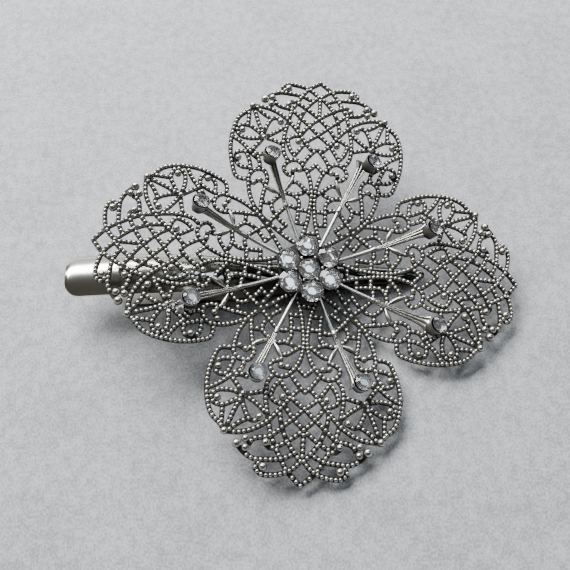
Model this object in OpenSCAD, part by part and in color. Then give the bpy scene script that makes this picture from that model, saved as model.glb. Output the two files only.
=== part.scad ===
// Hair clip with a large pierced flower on its upper arm.
// The clip lies along X: lever end at -X, jaw tip at +X, hinge axis along Y.
// Its flat underside is at Z = 0 and the origin lies under the middle of the flower.
// The flower is one pressed and pierced sheet with four petals and a cluster of seven cut
// stones; it sits tilted on a pad on the arched upper arm.

/* [Flower] */
// Height of the flower's middle above the surface the clip lies on
flower_z = 5.5; // [5.4:0.1:7]
// Tilt of the flower about X, its near petal down
tilt_x = 10; // [0:0.5:10]
// Tilt of the flower about Y, its right petal down
tilt_y = 8; // [0:0.5:8]
// Turn of the flower about Z
turn_z = -5.5; // [-20:0.5:20]
// Thickness of the pierced sheet
sheet_t = 0.8; // [0.6:0.05:1]
// How far the stems, mouths, leaves and large beads stand above the sheet
relief_h = 0.5; // [0.3:0.05:0.8]
// Radius of the flat middle
flat_r = 6; // [5:0.5:7]
// Radius of the hollow bend of a petal
hollow_r = 40; // [36:1:46]
// Slope that the hollow bend reaches
slope = 16; // [12:1:18]
// Length of the straight run after the hollow bend
run_l = 3.3; // [2:0.1:5]
// Radius of the rounded outer bend
dome_r = 44; // [40:1:50]

/* [Stems] */
// Width of a stem
stem_w = 0.8; // [0.6:0.05:1.2]
// Distance from the middle at which a stem opens into its mouth
mouth_in = 14.4; // [13:0.1:16]
// Distance from the middle at which the mouth is widest
mouth_out = 25; // [24.5:0.1:25.5]
// Width of a mouth at its rim
mouth_w = 3.4; // [2.6:0.1:3.8]
// Width of a mouth where its rim begins
throat_w = 2.1; // [1.8:0.1:2.6]

/* [Stones] */
// Girdle diameter of an outer cluster stone
stone_d = 4.3; // [4:0.05:4.35]
// Girdle diameter of the middle cluster stone
middle_d = 4; // [3.6:0.05:4.2]
// Outer diameter of a cup
cup_d = 3.5; // [3.2:0.1:3.8]
// Radius of the plate under the cups
plate_r = 4.6; // [4.4:0.05:4.8]
// How far the cluster lies from the middle of the flower, towards the near petal
cluster_off = 0.8; // [0:0.1:1.2]
// Girdle diameter of a stone at a stem's mouth
stamen_d = 3; // [2.8:0.1:3.2]

/* [Clip] */
// X of the lever end
lever_x = -45.7; // [-48:0.1:-44]
// Width of the upper lever
lever_w = 8.8; // [8:0.1:9.4]
// Thickness of the arms
arm_t = 0.6; // [0.5:0.05:0.7]
// Thickness of the lower arm's floor
floor_t = 0.8; // [0.7:0.05:0.9]
// X of the hinge pin
hinge_x = -22; // [-23:0.1:-21]
// Height of the hinge pin
hinge_z = 4; // [3.9:0.05:4.1]
// Radius of the hinge pin
pin_r = 0.75; // [0.6:0.05:0.8]
// Radius of the spring wire
wire_r = 0.3; // [0.25:0.05:0.3]

/* [Hidden] */

silver = "#a9a59b";
nickel = "#b9b5ac";
crystal = "#dfe3e8";
// Gap between two pieces that touch on the real clip
seat = 0.12;
// Running clearance of the hinge, on the radius
run_gap = 0.05;
// Half of the sheet, and the top of its relief
half_t = sheet_t / 2;
relief_t = half_t + relief_h;
// Depth of the prisms that cut the sheet's plan
deep = 12;

// Where the bends of a petal meet, along X and up Z, at a distance t above the mid surface
function bend_in(t) = [flat_r + (hollow_r - t) * sin(slope),
    hollow_r - (hollow_r - t) * cos(slope)];
function bend_out(t) = bend_in(t) + run_l * [cos(slope), sin(slope)];
dome_c = bend_out(0) + dome_r * [sin(slope), -cos(slope)];

// Arc length along a petal to its distance from the middle in plan
hollow_l = hollow_r * slope * PI / 180;
function plan_x(u) =
    u < flat_r ? u
    : u < flat_r + hollow_l ? flat_r + hollow_r * sin((u - flat_r) / hollow_r * 180 / PI)
    : u < flat_r + hollow_l + run_l ? bend_in(0)[0] + (u - flat_r - hollow_l) * cos(slope)
    : dome_c[0] - dome_r * sin(slope - (u - flat_r - hollow_l - run_l) / dome_r * 180 / PI);
// Height and slope of the mid surface at a distance x from the middle in plan
function lift(x) =
    x < flat_r ? 0
    : x < bend_in(0)[0] ? hollow_r - sqrt(pow(hollow_r, 2) - pow(x - flat_r, 2))
    : x < bend_out(0)[0] ? bend_in(0)[1] + (x - bend_in(0)[0]) * tan(slope)
    : dome_c[1] + sqrt(pow(dome_r, 2) - pow(x - dome_c[0], 2));
function dome_slope(x) = -asin((x - dome_c[0]) / dome_r);

// Silhouette of half a petal: u along the petal, v to its side, both on the flat sheet.
// From the tip over the two knobs, the shoulder and the lobe to the neighbour petal
silhouette = [
    // [u, v]
    [41.2, 0], [39.5, 2.4], [39.9, 5.2], [38.5, 8.4], [37.3, 8.4], [36.4, 10.4],
    [34.6, 12], [33.9, 11.3], [33.5, 9.4], [33, 10], [33.3, 13.6], [31.5, 15.3],
    [28.4, 17.1], [24.6, 17.7], [20.2, 17.2], [17.5, 16], [17, 13.4], [13.4, 12.6],
    [10.6, 10.8]
];

// Gaps of half a petal, mirrored to its other half: place of the middle on the flat sheet,
// length, width, turn from the petal's axis and number of corners
gaps = [
    // [u, v, length, width, turn, corners]
    [34.2, 1.2, 3.6, 2, 10, 3],
    [37.5, 3.7, 3.6, 1.6, 62, 6],
    [35.8, 7, 3.4, 1.6, 95, 6],
    [32.6, 6.6, 4.4, 1.6, 62, 6],
    [30.6, 3.4, 3.2, 1.8, 25, 4],
    [28.3, 8.8, 3.6, 2.4, 25, 6],
    [27, 13.6, 3, 1.8, 95, 6],
    [21.3, 14.5, 2.6, 1.6, 10, 8],
    [20.8, 5.4, 2.2, 1.5, -20, 8],
    [18.4, 11.2, 2, 1.4, 60, 8],
    [14.6, 11.3, 4, 1.8, 12, 8],
    [13.9, 4.2, 2.2, 1.7, 0, 5],
    [18.6, 2.5, 3, 1.6, 35, 5]
];

// Gaps on a petal's axis
axis_gaps = [
    // [u, length, width, corners]
    [39, 2.5, 2.4, 4], [29.8, 3, 2.6, 4], [22.6, 3.6, 1.8, 6]
];

// Where the stems come out from under the cluster, and the hub past each mouth where the
// tracery's rays meet
stem_in = 7.4;
hub_r = 28.2;

// Stones at the stems' mouths, set by hand: distance of the foot from the middle, its angle,
// and the stone's lean about X and about Y
stamens = [
    // [distance, angle, lean_x, lean_y]
    [24.7, 20.8, -10.5, 20.7], [24.5, 64.4, -10.9, 22], [23.2, 113.3, -18.3, 12.6],
    [23.8, 158.5, -14.1, 12.4], [23.9, 204.4, -6, 3.4], [24, 249.2, -6.5, -3.1],
    [24.8, 293.4, -7, 1.6], [25.8, 335.6, -7.3, 18]
];

// Cups of the cluster round its middle one, soldered by hand: distance and angle
ring = [
    // [distance, angle]
    [4.76, 97], [4.42, 160], [4.49, 219.5], [4.44, 280], [4.44, 340], [4.75, 38]
];

// Large beads of half a petal
beads = [
    // [u, v, radius]
    [27.1, 15.25, 0.6], [21.3, 15.55, 0.6], [26.1, 3.9, 0.55], [29.9, 7.8, 0.65],
    [20.2, 3.8, 0.6], [17, 11.4, 0.6], [34.6, 11.3, 0.6], [38.1, 6.6, 0.6],
    [32.7, 13.6, 0.6]
];

// Place of a point of the flat sheet in plan
function plan(p) = [plan_x(p[0]), p[1]];

// Four turned copies of a petal, each with its mirrored half
module each_petal() {
    for (turn = [0 : 90 : 270]) rotate(turn) {
        children();
        mirror([0, 1]) children();
    }
}

// Plan of half a petal inside its silhouette
module petal_plan() {
    polygon(concat([[0, 0]], [for (p = silhouette) plan(p)]));
}

// Diamond, triangle or oval with its corners on an ellipse
module gap_plan(at, length, width, turn, corners) {
    translate(plan(at)) rotate(turn)
    polygon([for (i = [0 : corners - 1])
        [length / 2 * cos(360 * i / corners), width / 2 * sin(360 * i / corners)]]);
}

// Plan of the pierced sheet
module sheet_plan() {
    difference() {
        each_petal() petal_plan();
        each_petal() for (g = gaps) gap_plan([g[0], g[1]], g[2], g[3], g[4], g[5]);
        for (turn = [0 : 90 : 270]) rotate(turn)
            for (g = axis_gaps) gap_plan([g[0], 0], g[1], g[2], 0, g[3]);
        for (turn = [45 : 90 : 315]) rotate(turn) gap_plan([9.4, 0], 3.4, 1.8, 0, 8);
    }
}

// Plan of the relief: stems, mouths, side leaves and large beads
module relief_plan() {
    for (turn = [22.5 : 45 : 360]) rotate(turn) {
        translate([stem_in, -stem_w / 2]) square([mouth_in - stem_in, stem_w]);
        polygon([[mouth_in - 1, -stem_w / 2], [mouth_out - 1.5, -throat_w / 2],
            [mouth_out, -mouth_w / 2], [mouth_out + 2.4, -0.9], [mouth_out + 2.4, 0.9],
            [mouth_out, mouth_w / 2], [mouth_out - 1.5, throat_w / 2],
            [mouth_in - 1, stem_w / 2]]);
        translate([hub_r, 0]) circle(1.3, $fn = 24);
    }
    each_petal() {
        leaf_plan([15.4, 6.1], [18.9, 4.3]);
        leaf_plan([14.9, 6.5], [16.4, 9.8]);
        for (b = beads) translate(plan([b[0], b[1]])) circle(b[2], $fn = 16);
    }
}

// A side leaf from its root to its tip, widest past its middle
module leaf_plan(root, tip) {
    a = plan(root);
    d = plan(tip) - a;
    translate(a) rotate(atan2(d[1], d[0]))
    polygon([[0, -0.25], [norm(d) * 0.6, -0.42], [norm(d), -0.15], [norm(d), 0.15],
        [norm(d) * 0.6, 0.42], [0, 0.25]]);
}

// Side view of everything below the surface at a distance t above the mid surface
module under_curve(t) {
    a = bend_in(t);
    b = bend_out(t);
    for (side = [0, 1]) mirror([side, 0]) {
        translate([0, -deep]) square([flat_r, deep + t]);
        difference() {
            translate([flat_r, -deep]) square([a[0] - flat_r, deep + a[1]]);
            translate([flat_r, hollow_r]) circle(hollow_r - t, $fn = 240);
        }
        polygon([[a[0], -deep], [b[0], -deep], b, a]);
        intersection() {
            translate([b[0], -deep]) square([45 - b[0], deep * 2]);
            translate(dome_c) circle(dome_r + t, $fn = 240);
        }
    }
}

// Everything below the four petals' surface at a distance t above their mid surface
module under_petals(t) {
    for (turn = [0, 90]) rotate([90, 0, turn])
        linear_extrude(90, center = true) under_curve(t);
}

// Sheet between two distances from the mid surface, cut to a plan
module pressed(low, high) {
    difference() {
        intersection() {
            under_petals(high);
            translate([0, 0, -deep / 2]) linear_extrude(deep * 1.5) children();
        }
        under_petals(low);
    }
}

// Places everything that belongs to the tilted flower
module on_flower() {
    translate([0, 0, flower_z]) rotate([tilt_x, tilt_y, turn_z]) children();
}

module filigree_flower() {
    color(silver) on_flower() {
        pressed(-half_t, half_t) sheet_plan();
        pressed(-half_t, relief_t) relief_plan();
    }
}

// Heights in the cluster: its foot on the sheet, the cups' floor and rim, and the stones'
// girdle. The stones' points stand on the cups' floors
foot_z = half_t + seat;
cup_floor = foot_z + 0.4;
stone_depth = 1.5;
girdle_z = cup_floor + seat + stone_depth;
rim_z = girdle_z - 0.35;
// Middle of cup i, the first being the central one
cluster_c = [-0.25, -cluster_off];
function cup_at(i) = i == 0 ? cluster_c
    : cluster_c + ring[i - 1][0] * [cos(ring[i - 1][1]), sin(ring[i - 1][1])];

// Seven cups on one plate, each bored for the pointed back of its stone
module cluster_setting() {
    color(silver) on_flower() difference() {
        union() {
            translate([cluster_c[0], cluster_c[1], foot_z])
                cylinder(h = cup_floor - foot_z, r = plate_r, $fn = 64);
            for (i = [0 : 6]) translate(cup_at(i)) translate([0, 0, foot_z])
                cylinder(h = rim_z - foot_z, r = cup_d / 2, $fn = 48);
        }
        for (i = [0 : 6]) translate(cup_at(i)) translate([0, 0, cup_floor])
            cylinder(h = 3, r = cup_d / 2 - 0.15, $fn = 48);
    }
}

// Girdle and crown of a cut stone with a table, the girdle's lower edge at Z = 0
module crown(d, height) {
    cylinder(h = 0.12, r = d / 2, $fn = 16);
    translate([0, 0, 0.12]) cylinder(h = height, r1 = d / 2, r2 = d * 0.27, $fn = 8);
}

module cluster_stone(i) {
    color(crystal) on_flower() translate(cup_at(i))
        translate([0, 0, girdle_z]) {
            d = i == 0 ? middle_d : stone_d;
            crown(d, 0.6);
            mirror([0, 0, 1]) cylinder(h = stone_depth, r1 = d / 2, r2 = 0.15, $fn = 8);
        }
}

// Stone i at a stem's mouth, leaning on its stepped back, whose foot stands above the relief
stamen_depth = 1.9;
shoulder_r = 1.2;
shoulder_z = -1.3;
foot_r = 0.3;
foot_up = relief_t + 0.3;
module stamen_stone(i) {
    s = stamens[i];
    axis = 90 * floor((s[1] + 45) / 90);
    x = s[0] * cos(s[1] - axis);
    y = s[0] * sin(s[1] - axis);
    foot = [x - foot_up * sin(dome_slope(x)), y, lift(x) + foot_up * cos(dome_slope(x))];
    color(crystal) on_flower() rotate(axis) translate(foot) rotate(-axis)
    rotate([s[2], s[3], 0]) translate([0, 0, stamen_depth]) {
        crown(stamen_d, 0.5);
        translate([0, 0, shoulder_z])
            cylinder(h = -shoulder_z, r1 = shoulder_r, r2 = stamen_d / 2, $fn = 8);
        translate([0, 0, -stamen_depth])
            cylinder(h = stamen_depth + shoulder_z, r1 = foot_r, r2 = shoulder_r, $fn = 8);
    }
}

// Upper arm, one arched strip from the lever end to the jaw tip
arm_rows = [
    // [x, height of the crown line, width, rise of the arch]
    [lever_x, 8.45, 5.6, 0.7], [-45.3, 8.6, 7.4, 1.1], [-44.2, 8.75, lever_w, 1.4],
    [-36, 8.8, lever_w, 1.4], [-28, 8.45, lever_w, 1.4], [-22, 7.85, 8.4, 1.35],
    [-17, 7, 7.8, 1.25], [-12, 6, 7, 1.1], [-6, 5.05, 6.2, 0.95], [0, 4.3, 5.6, 0.8],
    [8, 3.45, 4.7, 0.6], [16, 2.65, 3.6, 0.45], [21, 2.15, 2.8, 0.3],
    [22.6, 1.95, 2, 0.2], [23.1, 1.85, 1.2, 0.1]
];
arch_n = 8;

// Ring of points round the strip at a row, its top raised and its sides widened by grow
function arm_ring(row, low, grow) = concat(
    [for (i = [0 : arch_n]) let (s = 2 * i / arch_n - 1)
        [row[0], s * (row[2] / 2 + grow), row[1] + grow - row[3] * s * s]],
    [for (i = [arch_n : -1 : 0]) let (s = 2 * i / arch_n - 1)
        [row[0], s * (row[2] / 2 + grow), row[1] - low - row[3] * s * s]]);

// Solid through rings of points, one after the other, closed by its end rings
module through_rings(rings) {
    n = len(rings[0]);
    polyhedron(
        points = [for (r = rings) each r],
        faces = concat(
            [[for (i = [n - 1 : -1 : 0]) i]],
            [[for (i = [0 : n - 1]) (len(rings) - 1) * n + i]],
            [for (k = [0 : len(rings) - 2]) for (i = [0 : n - 1])
                let (a = k * n + i, b = k * n + (i + 1) % n) each
                [[a, b, a + n], [b, b + n, a + n]]]));
}

// Ear: a disc round the pin with a leg to height z, between two distances from the middle
ear_r = 1.9;
module ears(inner, outer, z, hole) {
    for (side = [0, 1]) mirror([0, side, 0])
    translate([hinge_x, outer, 0]) rotate([90, 0, 0])
    linear_extrude(outer - inner) difference() {
        union() {
            translate([0, hinge_z]) circle(ear_r, $fn = 48);
            translate([-ear_r, min(z, hinge_z)]) square([ear_r * 2, abs(z - hinge_z)]);
        }
        translate([0, hinge_z]) circle(hole, $fn = 48);
    }
}

module clip_upper_arm() {
    color(nickel) {
        through_rings([for (r = arm_rows) arm_ring(r, arm_t, 0)]);
        ears(3.3, 3.85, 6.4, pin_r + run_gap);
    }
}

// Lower arm in plan
floor_rows = [
    // [x, half width]
    [-36.4, 1.8], [-35.8, 2.7], [-34.6, 3.15], [-17, 3.15], [-8, 2.6], [4, 1.95],
    [14, 1.35], [20, 0.9], [21.6, 0.45]
];
tooth_pitch = 1.6;

module clip_lower_arm() {
    color(nickel) {
        linear_extrude(floor_t) polygon(concat(
            [for (r = floor_rows) [r[0], -r[1]]],
            [for (i = [len(floor_rows) - 1 : -1 : 0]) [floor_rows[i][0], floor_rows[i][1]]]));
        for (i = [0 : 11]) let (x = 0.8 + i * tooth_pitch)
            translate([x, 0, floor_t - 0.1]) rotate([90, 0, 0])
            linear_extrude(2 * lookup(x, floor_rows) - 0.4, center = true)
                polygon([[-0.55, 0], [0.55, 0], [-0.35, 0.45]]);
        ears(2.5, 3.1, 0.2, pin_r + run_gap);
    }
}

// Pin with two upset heads
module hinge_pin() {
    color(nickel) translate([hinge_x, 0, hinge_z]) rotate([90, 0, 0]) {
        cylinder(h = 8.1, r = pin_r, center = true, $fn = 48);
        for (side = [0, 1]) mirror([0, 0, side]) translate([0, 0, 3.97])
            cylinder(h = 0.4, r = pin_r + 0.45, $fn = 48);
    }
}

// Spring: a coil round the pin, with a leg under the upper lever and one on the lower lever
coil_r = pin_r + 0.15 + wire_r;
coil_pitch = 2 * wire_r + 0.05;
coil_from = 102;
coil_turns = 5 + 2 * coil_from / 360;
coil_steps = 60;
leg_x = -31;
coil_y = coil_pitch * coil_turns / 2;
function coil_at(k) = let (s = k / coil_steps, a = coil_from - 360 * coil_turns * s)
    [hinge_x + coil_r * cos(a), coil_y * (2 * s - 1), hinge_z + coil_r * sin(a)];
spring_path = concat(
    [[leg_x, -coil_y, 6.95]],
    [for (k = [0 : coil_steps]) coil_at(k)],
    [[leg_x, coil_y, floor_t + wire_r + seat]]);

// Ring of six points round the wire at point k of its path, square to the path there
function wire_ring(path, k) =
    let (d = path[min(k + 1, len(path) - 1)] - path[max(k - 1, 0)],
        t = d / norm(d),
        side = cross(t, [0, 1, 0]) / norm(cross(t, [0, 1, 0])),
        up = cross(side, t))
    [for (i = [0 : 5]) path[k] + wire_r * (cos(60 * i) * side + sin(60 * i) * up)];

module clip_spring() {
    color(nickel) through_rings([for (k = [0 : len(spring_path) - 1])
        wire_ring(spring_path, k)]);
}

// Pad between the arched arm and the flat middle of the flower
pad_r = 4.4;
module glue_pad() {
    color("#8f8c86") difference() {
        on_flower() translate([0, 0, -half_t - seat - 1.3]) cylinder(h = 1.3, r = pad_r, $fn = 48);
        through_rings([for (r = arm_rows) arm_ring(r, 4, seat)]);
    }
}

filigree_flower();
cluster_setting();
cluster_stone(0);  // cluster_stone_1
cluster_stone(1);  // cluster_stone_2
cluster_stone(2);  // cluster_stone_3
cluster_stone(3);  // cluster_stone_4
cluster_stone(4);  // cluster_stone_5
cluster_stone(5);  // cluster_stone_6
cluster_stone(6);  // cluster_stone_7
stamen_stone(0);  // stamen_stone_1
stamen_stone(1);  // stamen_stone_2
stamen_stone(2);  // stamen_stone_3
stamen_stone(3);  // stamen_stone_4
stamen_stone(4);  // stamen_stone_5
stamen_stone(5);  // stamen_stone_6
stamen_stone(6);  // stamen_stone_7
stamen_stone(7);  // stamen_stone_8
clip_upper_arm();
clip_lower_arm();
hinge_pin();
clip_spring();
glue_pad();
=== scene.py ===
"""Looks of a hair clip that carries a large beaded, pierced flower with cut stones.

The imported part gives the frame. Lengths in this file are in millimetres and angles in
degrees, and Skin.build turns them into metres. The flower has a frame of its own: its flat
middle at the origin, its first petal along +X and the others a quarter turn apart, and +Z
out of its face. A point of a petal is given on the flat, unbent sheet: u along the petal's
axis, v across it and h above the middle of the sheet.
"""

import logging
import math
from dataclasses import dataclass, field, replace
from enum import Enum
from functools import cache

import bpy
import numpy as np
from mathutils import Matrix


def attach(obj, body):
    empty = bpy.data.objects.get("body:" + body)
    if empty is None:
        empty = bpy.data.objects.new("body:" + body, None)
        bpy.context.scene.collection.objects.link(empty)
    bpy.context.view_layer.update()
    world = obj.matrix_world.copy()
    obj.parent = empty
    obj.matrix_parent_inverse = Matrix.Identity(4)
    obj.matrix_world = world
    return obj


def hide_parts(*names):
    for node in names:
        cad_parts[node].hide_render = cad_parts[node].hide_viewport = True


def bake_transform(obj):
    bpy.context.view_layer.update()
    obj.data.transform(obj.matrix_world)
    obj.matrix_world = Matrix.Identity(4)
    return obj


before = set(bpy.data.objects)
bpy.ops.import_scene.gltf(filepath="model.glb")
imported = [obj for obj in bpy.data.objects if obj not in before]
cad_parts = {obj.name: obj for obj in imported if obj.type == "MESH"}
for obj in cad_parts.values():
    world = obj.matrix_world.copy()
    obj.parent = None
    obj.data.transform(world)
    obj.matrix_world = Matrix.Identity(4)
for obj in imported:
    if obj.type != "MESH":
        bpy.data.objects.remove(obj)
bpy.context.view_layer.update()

log = logging.getLogger("hair_clip")
MM = 0.001

Triple = tuple[float, float, float]
Faces = list[tuple[np.ndarray, int]]
Material = bpy.types.Material
Piece = bpy.types.Object
Tree = bpy.types.NodeTree
Node = bpy.types.Node
Socket = bpy.types.NodeSocket
Feed = Socket | float | Triple


# Meshes


@dataclass
class Skin:
    """A surface as arrays: points, faces by their number of corners, tone and material.

    Attributes:
        points: (n, 3) places in millimetres.
        faces: pairs of an (m, k) array of corners and the faces' material slot.
        tone: (n,) 0 in a dark recess, 1 on a bright top, and low where shade is painted: under the
            flower on the upper arm and on the flower's middle.
    """

    points: np.ndarray
    faces: Faces
    tone: np.ndarray

    @staticmethod
    def joined(skins: list["Skin"]) -> "Skin":
        """Puts several skins into one.

        Args:
            skins: the skins to join, in any number.

        Returns:
            One skin with all their points, faces and tones.
        """
        starts = np.cumsum([0] + [len(s.points) for s in skins])
        faces = [(f + start, slot) for s, start in zip(skins, starts) for f, slot in s.faces]
        points = np.concatenate([s.points for s in skins])
        return Skin(points, faces, np.concatenate([s.tone for s in skins]))

    def moved(self, turn: Triple = (0, 0, 0), shift: Triple | np.ndarray = (0, 0, 0)) -> "Skin":
        """The skin turned about X, then Y, then Z, by degrees, then shifted by millimetres."""
        return Skin(self.points @ euler(*turn).T + shift, self.faces, self.tone)

    def mirrored(self) -> "Skin":
        """The skin's image on the other side of y = 0, with its faces outward again."""
        faces = [(f[:, ::-1], slot) for f, slot in self.faces]
        return Skin(self.points * [1, -1, 1], faces, self.tone)

    def build(self, name: str, materials: list[Material], sharp: float = 40.0) -> Piece:
        """Makes the skin a Blender object with its place in its mesh.

        Args:
            name: the piece's name.
            materials: the slots that the faces' numbers stand for.
            sharp: edges that bend by more than this stay sharp.

        Returns:
            The object, at the origin, unturned and unscaled.
        """
        mesh = bpy.data.meshes.new(name)
        corners = np.concatenate([f.ravel() for f, _ in self.faces]).astype(np.int32)
        sizes = np.concatenate([np.full(len(f), f.shape[1]) for f, _ in self.faces])
        slots = np.concatenate([np.full(len(f), s) for f, s in self.faces]).astype(np.int32)
        starts = np.concatenate([[0], np.cumsum(sizes)[:-1]]).astype(np.int32)
        mesh.vertices.add(len(self.points))
        mesh.loops.add(len(corners))
        mesh.polygons.add(len(sizes))
        mesh.vertices.foreach_set("co", (self.points * MM).astype(np.float32).ravel())
        mesh.loops.foreach_set("vertex_index", corners)
        mesh.polygons.foreach_set("loop_start", starts)
        mesh.polygons.foreach_set("material_index", slots)
        mesh.update(calc_edges=True)
        mesh.validate()
        tone = mesh.attributes.new("tone", "FLOAT", "POINT")
        tone.data.foreach_set("value", self.tone.astype(np.float32))
        mesh.shade_smooth()
        mesh.set_sharp_from_angle(angle=math.radians(sharp))
        for material in materials:
            mesh.materials.append(material)
        piece = bpy.data.objects.new(name, mesh)
        bpy.context.scene.collection.objects.link(piece)
        return piece


def euler(x: float, y: float, z: float) -> np.ndarray:
    """Rotation matrix that turns about X, then Y, then Z.

    Args:
        x: degrees about X.
        y: degrees about Y.
        z: degrees about Z.

    Returns:
        The (3, 3) matrix.
    """
    a, b, c = np.radians([x, y, z])
    about_x = np.array([[1, 0, 0], [0, np.cos(a), -np.sin(a)], [0, np.sin(a), np.cos(a)]])
    about_y = np.array([[np.cos(b), 0, np.sin(b)], [0, 1, 0], [-np.sin(b), 0, np.cos(b)]])
    about_z = np.array([[np.cos(c), -np.sin(c), 0], [np.sin(c), np.cos(c), 0], [0, 0, 1]])
    return about_z @ about_y @ about_x


def full_turn(steps: int) -> np.ndarray:
    """Angles of a full turn in equal steps, in radians, from 0."""
    return 2 * np.pi * np.arange(steps) / steps


def directions(line: np.ndarray) -> np.ndarray:
    """Unit vectors along a line, one at each of its points."""
    along = np.gradient(line, axis=0)
    return along / np.linalg.norm(along, axis=1)[:, None]


def ring_faces(rows: int, around: int, closed: bool = True) -> Faces:
    """Faces of a tube of rings, with its two ends capped.

    The corner at ring i, place j is number i * around + j. A quad joins places j and j + 1 of
    rings i and i + 1.

    Args:
        rows: number of rings.
        around: points in a ring.
        closed: True to cap both ends with one face each.

    Returns:
        The faces, all in material slot 0.
    """
    i, j = np.meshgrid(np.arange(rows - 1), np.arange(around), indexing="ij")
    a = i * around + j
    b = i * around + (j + 1) % around
    quads = np.stack([a, b, b + around, a + around], axis=-1).reshape(-1, 4)
    if not closed:
        return [(quads, 0)]
    start = np.arange(around)[::-1][None, :]
    end = (rows - 1) * around + np.arange(around)[None, :]
    return [(quads, 0), (start, 0), (end, 0)]


def revolved(profile: tuple[Triple, ...] | np.ndarray, sides: int, slot: int = 0) -> Skin:
    """A closed body of revolution about Z.

    Args:
        profile: (n, 3) radius, height and tone, from the underside round the outside.
        sides: points in a ring.
        slot: the material slot of its faces.

    Returns:
        The body.
    """
    radius, height, tone = np.array(profile).T[:, :, None]
    turn = full_turn(sides)
    points = np.stack([radius * np.cos(turn), radius * np.sin(turn), height + 0 * turn], axis=-1)
    faces = [(f, slot) for f, _ in ring_faces(len(radius), sides)]
    return Skin(points.reshape(-1, 3), faces, np.repeat(tone, sides))


def lump(radius: float, height: float, rows: int, sides: int) -> Skin:
    """A round lump: radius * cos(p) wide at a height of height * sin(p), p from -86 to 86.

    Args:
        radius: its radius in plan.
        height: half of its height.
        rows: number of rings from pole to pole.
        sides: points in a ring.

    Returns:
        The closed body about the origin, bright all over.
    """
    p = np.radians(np.linspace(-86, 86, rows))
    return revolved(np.stack([radius * np.cos(p), height * np.sin(p), 1 + 0 * p], 1), sides)


def smooth_line(knots: np.ndarray, step: float, sample: float = 0.1) -> np.ndarray:
    """A smooth line through knots, with its points evenly spaced.

    Each stretch is a cubic whose slope at a knot is the average of the slopes of the two
    chords that meet there, weighed by the other chord's length.

    Args:
        knots: (n, d) points that the line runs through.
        step: largest distance between two points of the line.
        sample: spacing at which the cubics are measured.

    Returns:
        (m, d) points.
    """
    knots = np.asarray(knots, float)
    chord = np.linalg.norm(np.diff(knots, axis=0), axis=1)
    at = np.concatenate([[0], np.cumsum(chord)])
    slope = np.diff(knots, axis=0) / chord[:, None]
    if len(knots) == 2:
        tangent = np.repeat(slope, 2, axis=0)
    else:
        before, after = chord[:-1, None], chord[1:, None]
        inner = (slope[:-1] * after + slope[1:] * before) / (before + after)
        tangent = np.concatenate([2 * slope[:1] - inner[:1], inner, 2 * slope[-1:] - inner[-1:]])
    fine = np.linspace(0, at[-1], max(int(at[-1] / sample), 8))
    k = np.clip(np.searchsorted(at, fine, side="right") - 1, 0, len(chord) - 1)
    h = chord[k][:, None]
    t = ((fine - at[k]) / chord[k])[:, None]
    line = (
        (2 * t**3 - 3 * t**2 + 1) * knots[k]
        + (t**3 - 2 * t**2 + t) * h * tangent[k]
        + (3 * t**2 - 2 * t**3) * knots[k + 1]
        + (t**3 - t**2) * h * tangent[k + 1]
    )
    length = np.concatenate([[0], np.cumsum(np.linalg.norm(np.diff(line, axis=0), axis=1))])
    even = np.linspace(0, length[-1], max(int(round(length[-1] / step)), 1) + 1)
    return np.stack([np.interp(even, length, line[:, d]) for d in range(line.shape[1])], axis=1)


# Node groups and finishes


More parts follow.
